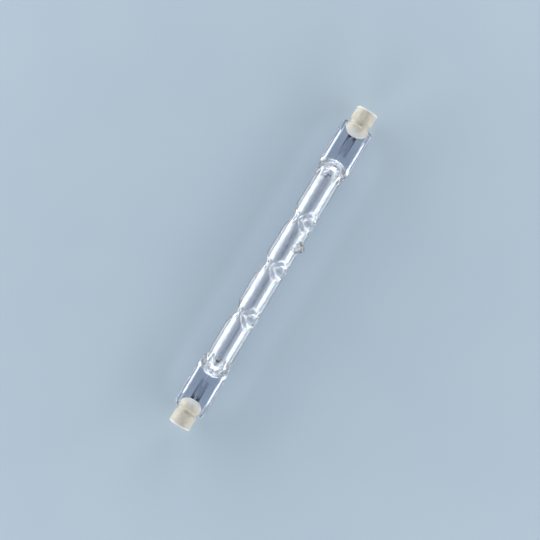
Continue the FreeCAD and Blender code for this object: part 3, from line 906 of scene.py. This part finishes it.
# %% [markdown]
# The foil is thinner than paper and etched to a feather edge, and the hot glass wrinkles it when
# the press closes. Its long edges look dark where they thin out, and it darkens in blotches at
# its outer end, where air has crept in along the lead. Both are a matter of colour here.

# %% Finish: etched foil
DARK_END = (47.4, 49.0)
FEATHER_EDGE = (1.1, 1.4)
FEATHER_START = (42.5, 47.5)

foil_metal = new_finish("etched_foil")
rolled = foil_metal.noise(0.25, 3.0, (0.06, 1, 1))
wrinkle = foil_metal.noise(0.7, 3.0, (1, 0.4, 1))
outer_end = foil_metal.along().ramp(*DARK_END) * wrinkle.ramp(0.36, 0.5)
feather = foil_metal.aside().ramp(*FEATHER_EDGE) * foil_metal.along().ramp(*FEATHER_START)
foil_tone = foil_metal.mix(rolled.ramp(0.3, 0.7), rgb(0.38, 0.44, 0.56), rgb(0.48, 0.54, 0.67))
foil_tone = foil_metal.mix(outer_end, foil_tone, rgb(0.06, 0.07, 0.09))
foil_tone = foil_metal.mix(feather, foil_tone, rgb(0.02, 0.03, 0.05))
foil_metal.surface(foil_metal.value("ShaderNodeBsdfPrincipled", None,
                                    {"Base Color": foil_tone, "Metallic": 0.55,
                                     "Roughness": rolled.ramp(0, 1, 0.35, 0.55),
                                     "Normal": foil_metal.bump(wrinkle, 0.05, 0.5)}))

# %% [markdown]
# The foil itself is a fine grid, waved a little along and across and then given its thickness.

# %% The sealing foils
FOIL_ENDS = (42.1, 50.8)
FOIL_HALF_WIDTH = 1.45
FOIL_MIDDLE_HEIGHT = -0.355
FOIL_THICKNESS = 0.04
FOIL_GRID = (58, 18)
FOIL_WAVE = 0.012
WAVES_ALONG = (4.1, 2.3)
WAVES_ACROSS = 1.7


def draw_foil(sign):
    """A waved sheet with its thickness."""
    shape = bmesh.new()
    middle = (FOIL_ENDS[0] + FOIL_ENDS[1]) / 2 * sign
    half_length = (FOIL_ENDS[1] - FOIL_ENDS[0]) / 2
    bmesh.ops.create_grid(shape, x_segments=FOIL_GRID[0], y_segments=FOIL_GRID[1], size=1.0)
    bmesh.ops.scale(shape, verts=shape.verts, vec=(half_length, FOIL_HALF_WIDTH, 1))
    bmesh.ops.translate(shape, verts=shape.verts, vec=(middle, 0, FOIL_MIDDLE_HEIGHT))
    for vert in shape.verts:
        wave = math.sin(vert.co.x * WAVES_ALONG[0]) \
            + math.sin(vert.co.x * WAVES_ALONG[1] + vert.co.y * WAVES_ACROSS)
        vert.co.z += FOIL_WAVE * wave / 2
    bmesh.ops.recalc_face_normals(shape, faces=shape.faces)
    bmesh.ops.solidify(shape, geom=shape.faces[:], thickness=FOIL_THICKNESS)
    return shape


for side, sign in SIDES:
    make_piece("sealing_foil_" + side, draw_foil(sign), foil_metal.owner,
               ["moly_foil_" + side])

# %% [markdown]
# ## The ceramic caps
# A cap of steatite is pressed, turned and fired, so every edge is a little round. Its profile is
# drawn once, from the well in the end face over the head, the neck and the collar to the nose,
# and back through the bore, and spun about the axis. Each point is a distance from the end face
# and a radius. The right cap is the left one turned half round.

# %% The caps: spin a profile
CAP_PROFILE = (
    (1.65, 1.75), (1.65, 2.22), (1.57, 2.30), (0.22, 2.30), (0.06, 2.38), (0.0, 2.55),
    (0.0, 3.30), (0.05, 3.48), (0.17, 3.60), (0.36, 3.65), (4.1, 3.65), (4.3, 3.60),
    (4.72, 3.26), (4.92, 3.20), (5.66, 3.20), (5.83, 3.26), (5.92, 3.45), (5.95, 3.68),
    (6.05, 3.83), (6.22, 3.89), (7.5, 3.89), (7.85, 3.83), (8.25, 3.62), (8.7, 3.24),
    (9.1, 2.76), (9.4, 2.28), (9.56, 1.95), (9.6, 1.70), (9.6, 0.45), (2.05, 0.45),
    (2.05, 1.75))
CAP_STEPS = 96
POLE_MERGE = 0.0005


def turned(profile, closed, steps, side):
    """A profile spun about the axis, at the left or the right end."""
    shape = bmesh.new()
    verts = [shape.verts.new((along - HALF_LAMP, radius, 0)) for along, radius in profile]
    following = verts[1:] + verts[:1] if closed else verts[1:]
    edges = [shape.edges.new(pair) for pair in zip(verts, following)]
    bmesh.ops.spin(shape, geom=verts + edges, cent=(0, 0, 0), axis=(1, 0, 0),
                   angle=math.tau, steps=steps, use_merge=True, use_duplicate=False)
    bmesh.ops.remove_doubles(shape, verts=shape.verts, dist=POLE_MERGE)
    if side == "right":
        bmesh.ops.rotate(shape, verts=shape.verts, cent=(0, 0, 0),
                         matrix=Matrix.Rotation(math.pi, 3, "Z"))
    return shape


print("a cap's profile has", len(CAP_PROFILE), "points")

# %% [markdown]
# The slot that takes the press is cut out of the spun cap with a boolean, because its walls
# meet the round of the collar and the nose in curves that no spin would give. The block that
# cuts is wider than the cap and runs out past its nose.

# %% The caps: cut the slot
SLOT_ENDS = (5.55, 9.7)
SLOT_HALF_HEIGHT = 1.3
SLOT_WIDTH = 9.336
CAP_SMOOTH = 38.0


def cut_slot(cap, sign):
    """Cut the slot for the press out of a cap."""
    block = bmesh.new()
    bmesh.ops.create_cube(block, size=1.0)
    bmesh.ops.scale(block, verts=block.verts,
                    vec=(SLOT_ENDS[1] - SLOT_ENDS[0], SLOT_WIDTH, 2 * SLOT_HALF_HEIGHT))
    middle = (HALF_LAMP - (SLOT_ENDS[0] + SLOT_ENDS[1]) / 2) * sign
    bmesh.ops.translate(block, verts=block.verts, vec=(middle, 0, 0))
    to_frame(block)
    block_mesh = bpy.data.meshes.new("slot_block")
    block.to_mesh(block_mesh)
    block.free()
    cutter = bpy.data.objects.new("slot_block", block_mesh)
    COLLECTION.objects.link(cutter)
    cut = cap.modifiers.new("slot", "BOOLEAN")
    cut.operation = "DIFFERENCE"
    cut.solver = "EXACT"
    cut.object = cutter
    with_slot = cap.evaluated_get(bpy.context.evaluated_depsgraph_get())
    slotted = bpy.data.meshes.new_from_object(with_slot)
    cap.modifiers.clear()
    cap.data = slotted
    bpy.data.objects.remove(cutter)
    bpy.data.meshes.remove(block_mesh)
    slotted.shade_smooth()
    slotted.set_sharp_from_angle(angle=math.radians(CAP_SMOOTH))
    print(cap.name, "is slotted and has", len(slotted.polygons), "faces")


print("the slot is", 2 * SLOT_HALF_HEIGHT, "mm high")

# %% [markdown]
# Fired steatite is cream, matt and faintly mottled, with darker pores. The rim of the head is
# painted paler, a painted highlight, and towards the nose a thin wash of white cement covers it.

# %% Finish: cream ceramic
# Where the painted highlight lies: near the end face, on the rim of the head.
HIGHLIGHT_RIM = (HALF_LAMP - 0.8, HALF_LAMP - 0.1)
RIM_RADIUS = (3.1, 3.5)
WASHED_NOSE = (50.3, 52.2)

ceramic = new_finish("cream_ceramic")
mottle = ceramic.noise(1.6, 4.0)
pores = ceramic.noise(0.12, 3.0)
cream = ceramic.mix(mottle.ramp(0.3, 0.7), rgb(0.62, 0.57, 0.465), rgb(0.73, 0.69, 0.60))
cream = ceramic.mix(pores.ramp(0.35, 0.5, 0.35, 0.0), cream, rgb(0.42, 0.36, 0.27))
# Painted highlight: the rim of the head's end face is mixed to a paler colour.
painted_rim_highlight = ceramic.along().ramp(*HIGHLIGHT_RIM) * ceramic.from_axis().ramp(*RIM_RADIUS)
wash = (1 - ceramic.along().ramp(*WASHED_NOSE)) * mottle.ramp(0.2, 0.6, 0.6, 1.0)
cream = ceramic.mix(painted_rim_highlight, cream, rgb(0.88, 0.88, 0.86))
cream = ceramic.mix(wash * 0.8, cream, rgb(0.70, 0.72, 0.70))
ceramic.surface(ceramic.value("ShaderNodeBsdfPrincipled", None,
                              {"Base Color": cream, "Roughness": mottle.ramp(0.2, 0.8, 0.5, 0.65),
                               "Normal": ceramic.bump(pores + mottle * 0.4, 0.03, 0.5)}))

# %% [markdown]
# The cement that holds a cap on its press is lumpy and dead matt. It keeps its CAD shape. With
# both finishes ready, the two caps are spun, slotted and dressed.

# %% Finish: white cement, and the two caps
cement = new_finish("white_cement")
lumps = cement.noise(0.35, 5.0)
grit = cement.noise(0.09, 3.0)
paste = cement.mix(lumps.ramp(0.3, 0.7), rgb(0.56, 0.56, 0.53), rgb(0.72, 0.72, 0.69))
cement.surface(cement.value("ShaderNodeBsdfPrincipled", None,
                            {"Base Color": paste, "Roughness": grit.ramp(0.2, 0.8, 0.75, 0.95),
                             "Normal": cement.bump(lumps + grit * 0.3, 0.08, 0.6)}))

for side, sign in SIDES:
    cap = make_piece("ceramic_" + side, turned(CAP_PROFILE, True, CAP_STEPS, side),
                     ceramic.owner, ["ceramic_cap_" + side], CAP_SMOOTH)
    cut_slot(cap, sign)
    dress("cap_cement_" + side, cement)

# %% [markdown]
# The contact in each well is a low dome of plated metal, welded to the lead behind it. Its
# profile starts and ends on the axis and is spun in the same way. A ring of wear marks where
# the lampholder's spring touches.

# %% The contacts
CONTACT_PROFILE = ((2.04, 0.0), (2.04, 1.62), (2.01, 1.68), (1.96, 1.69), (1.9, 1.5), (1.80, 1.2),
                   (1.73, 0.9), (1.705, 0.6), (1.70, 0.3), (1.70, 0.0))
CONTACT_STEPS = 64
WEAR_RING = (0.5, 0.9, 1.2)

plated = new_finish("plated_contact")
turning = plated.value("ShaderNodeTexWave", {"wave_type": "RINGS", "rings_direction": "X"},
                       {"Vector": plated.place(), "Scale": 2.2, "Distortion": 0.6,
                        "Detail": 2.0}, output="Fac")
tarnish = plated.noise(0.5, 4.0)
worn = plated.from_axis().ramp(*WEAR_RING[:2]) * (1 - plated.from_axis().ramp(*WEAR_RING[1:]))
metal_tone = plated.mix(tarnish.ramp(0.3, 0.7), rgb(0.42, 0.40, 0.36), rgb(0.60, 0.58, 0.54))
metal_tone = plated.mix(worn * 0.7, metal_tone, rgb(0.75, 0.74, 0.72))
plated.surface(plated.value("ShaderNodeBsdfPrincipled", None,
                            {"Base Color": metal_tone, "Metallic": 1.0,
                             "Roughness": tarnish.ramp(0.2, 0.8, 0.28, 0.5),
                             "Normal": plated.bump(turning, 0.01, 0.3)}))

for side, _ in SIDES:
    make_piece("contact_" + side, turned(CONTACT_PROFILE, False, CONTACT_STEPS, side),
               plated.owner, ["contact_button_" + side], smooth_angle=30.0)

# %% [markdown]
# The box of the CAD model was written down at the start, before anything was made.
